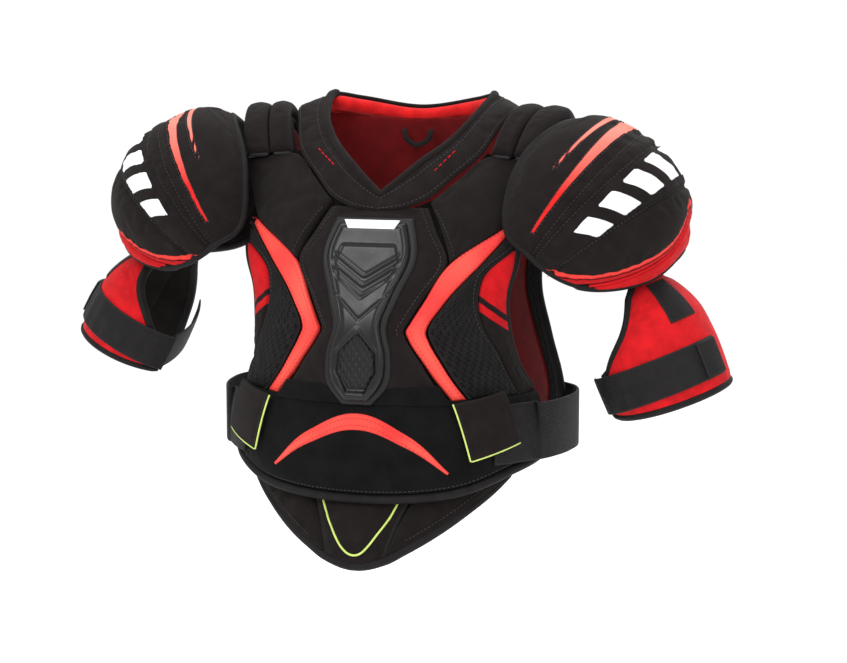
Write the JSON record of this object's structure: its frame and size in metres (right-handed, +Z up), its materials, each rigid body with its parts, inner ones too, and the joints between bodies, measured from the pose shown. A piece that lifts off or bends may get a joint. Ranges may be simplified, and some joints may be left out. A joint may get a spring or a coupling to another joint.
{
  "type": "ice hockey shoulder pads",
  "caption": "Padded vest for ice hockey with a moulded breastbone plate, shoulder caps on hinges, strapped upper-arm guards, waist straps and a folding belly pad.",
  "frame": {"origin": "middle of the shoulder line, level with where the pads rest on the wearer's shoulders", "axes": "+Z up, the wearer faces -Y, +X towards the wearer's left arm"},
  "size_m": [0.6779, 0.2755, 0.4466],
  "materials": {
    "charcoal_knit": "matt knitted polyester over foam",
    "vented_cloth": "matt spacer mesh over foam",
    "brushed_loop": "brushed loop pile",
    "edge_binding": "satin edge tape",
    "coral_cloth": "smooth coated cloth",
    "red_cloth": "smooth knitted cloth over foam",
    "dark_red_lining": "quilted lining",
    "black_webbing": "woven elastic webbing",
    "moulded_shell": "moulded, satin",
    "grey_rubber": "moulded, matt",
    "silver_badge": "satin silver"
  },
  "bodies": {
    "torso": {"chest_core": "charcoal_knit", "chest_upper_pad_left": "charcoal_knit", "chest_upper_pad_right": "charcoal_knit", "chest_inlay_left": "coral_cloth", "chest_inlay_right": "coral_cloth", "chest_vent_pad_left": "vented_cloth", "chest_vent_pad_right": "vented_cloth", "chest_wing_left": "vented_cloth", "chest_wing_right": "vented_cloth", "belly_panel": "brushed_loop", "belly_inlay": "coral_cloth", "chest_hem_binding": "edge_binding", "chest_liner": "dark_red_lining", "sternum_backing": "charcoal_knit", "sternum_plate": "moulded_shell", "sternum_insert": "grey_rubber", "sternum_badge": "silver_badge", "back_core": "charcoal_knit", "back_side_pad_left": "vented_cloth", "back_side_pad_right": "vented_cloth", "spine_plate": "moulded_shell", "back_hem_binding": "edge_binding", "back_liner": "dark_red_lining", "shoulder_arch_left": "charcoal_knit", "shoulder_arch_right": "charcoal_knit", "bridge_pad_inner_left": "charcoal_knit", "bridge_pad_inner_right": "charcoal_knit", "bridge_pad_outer_left": "charcoal_knit", "bridge_pad_outer_right": "charcoal_knit", "shoulder_rest_left": "dark_red_lining", "shoulder_rest_right": "dark_red_lining", "collar_band": "charcoal_knit", "collar_roll": "red_cloth", "hang_loop": "black_webbing", "belly_pad_anchor": "brushed_loop"},
    "belly_pad": {"belly_pad_core": "charcoal_knit", "belly_pad_side_left": "charcoal_knit", "belly_pad_side_right": "charcoal_knit"},
    "cap_left": {"cap_pad_left": "charcoal_knit", "cap_border_left": "red_cloth", "cap_insert_left": "moulded_shell"},
    "arm_left": {"arm_guard_left": "red_cloth", "arm_insert_left": "moulded_shell", "arm_elastic_left": "black_webbing", "arm_hanger_left": "black_webbing"},
    "arm_strap_left": {"arm_strap_left": "black_webbing"},
    "waist_strap_left": {"waist_strap_left": "black_webbing", "strap_tab_left": "grey_rubber"},
    "cap_right": {"cap_pad_right": "charcoal_knit", "cap_border_right": "red_cloth", "cap_insert_right": "moulded_shell"},
    "arm_right": {"arm_guard_right": "red_cloth", "arm_insert_right": "moulded_shell", "arm_elastic_right": "black_webbing", "arm_hanger_right": "black_webbing"},
    "arm_strap_right": {"arm_strap_right": "black_webbing"},
    "waist_strap_right": {"waist_strap_right": "black_webbing", "strap_tab_right": "grey_rubber"}
  },
  "joints": [
    {"name": "cap_lift_left", "type": "hinge", "parent": "torso", "child": "cap_left", "pos_m": [0.152, -0.02, 0.044], "axis": [-0.23, -0.9732, 0], "range_deg": [0, 40]},
    {"name": "arm_swing_left", "type": "hinge", "parent": "cap_left", "child": "arm_left", "pos_m": [0.211, 0.014, -0.076], "axis": [-0.9205, 0, -0.3907], "range_deg": [-8, 6]},
    {"name": "arm_strap_open_left", "type": "hinge", "parent": "arm_left", "child": "arm_strap_left", "pos_m": [0.20991, -0.00048, -0.23398], "axis": [0.3907, 0, -0.9205], "range_deg": [0, 75]},
    {"name": "waist_strap_open_left", "type": "hinge", "parent": "torso", "child": "waist_strap_left", "pos_m": [0.15, 0.084, -0.262], "axis": [0, 0, 1], "range_deg": [0, 18]},
    {"name": "cap_lift_right", "type": "hinge", "parent": "torso", "child": "cap_right", "pos_m": [-0.152, -0.02, 0.044], "axis": [-0.23, 0.9732, 0], "range_deg": [0, 40]},
    {"name": "arm_swing_right", "type": "hinge", "parent": "cap_right", "child": "arm_right", "pos_m": [-0.206, 0.014, -0.058], "axis": [-0.8746, 0, 0.4848], "range_deg": [-8, 6]},
    {"name": "arm_strap_open_right", "type": "hinge", "parent": "arm_right", "child": "arm_strap_right", "pos_m": [-0.23247, -0.02658, -0.20911], "axis": [0.4848, 0, 0.8746], "range_deg": [0, 75]},
    {"name": "waist_strap_open_right", "type": "hinge", "parent": "torso", "child": "waist_strap_right", "pos_m": [-0.15, 0.084, -0.262], "axis": [0, 0, -1], "range_deg": [0, 18]},
    {"name": "belly_pad_fold", "type": "hinge", "parent": "torso", "child": "belly_pad", "pos_m": [0, -0.117, -0.327], "axis": [-1, 0, 0], "range_deg": [0, 40]}
  ]
}
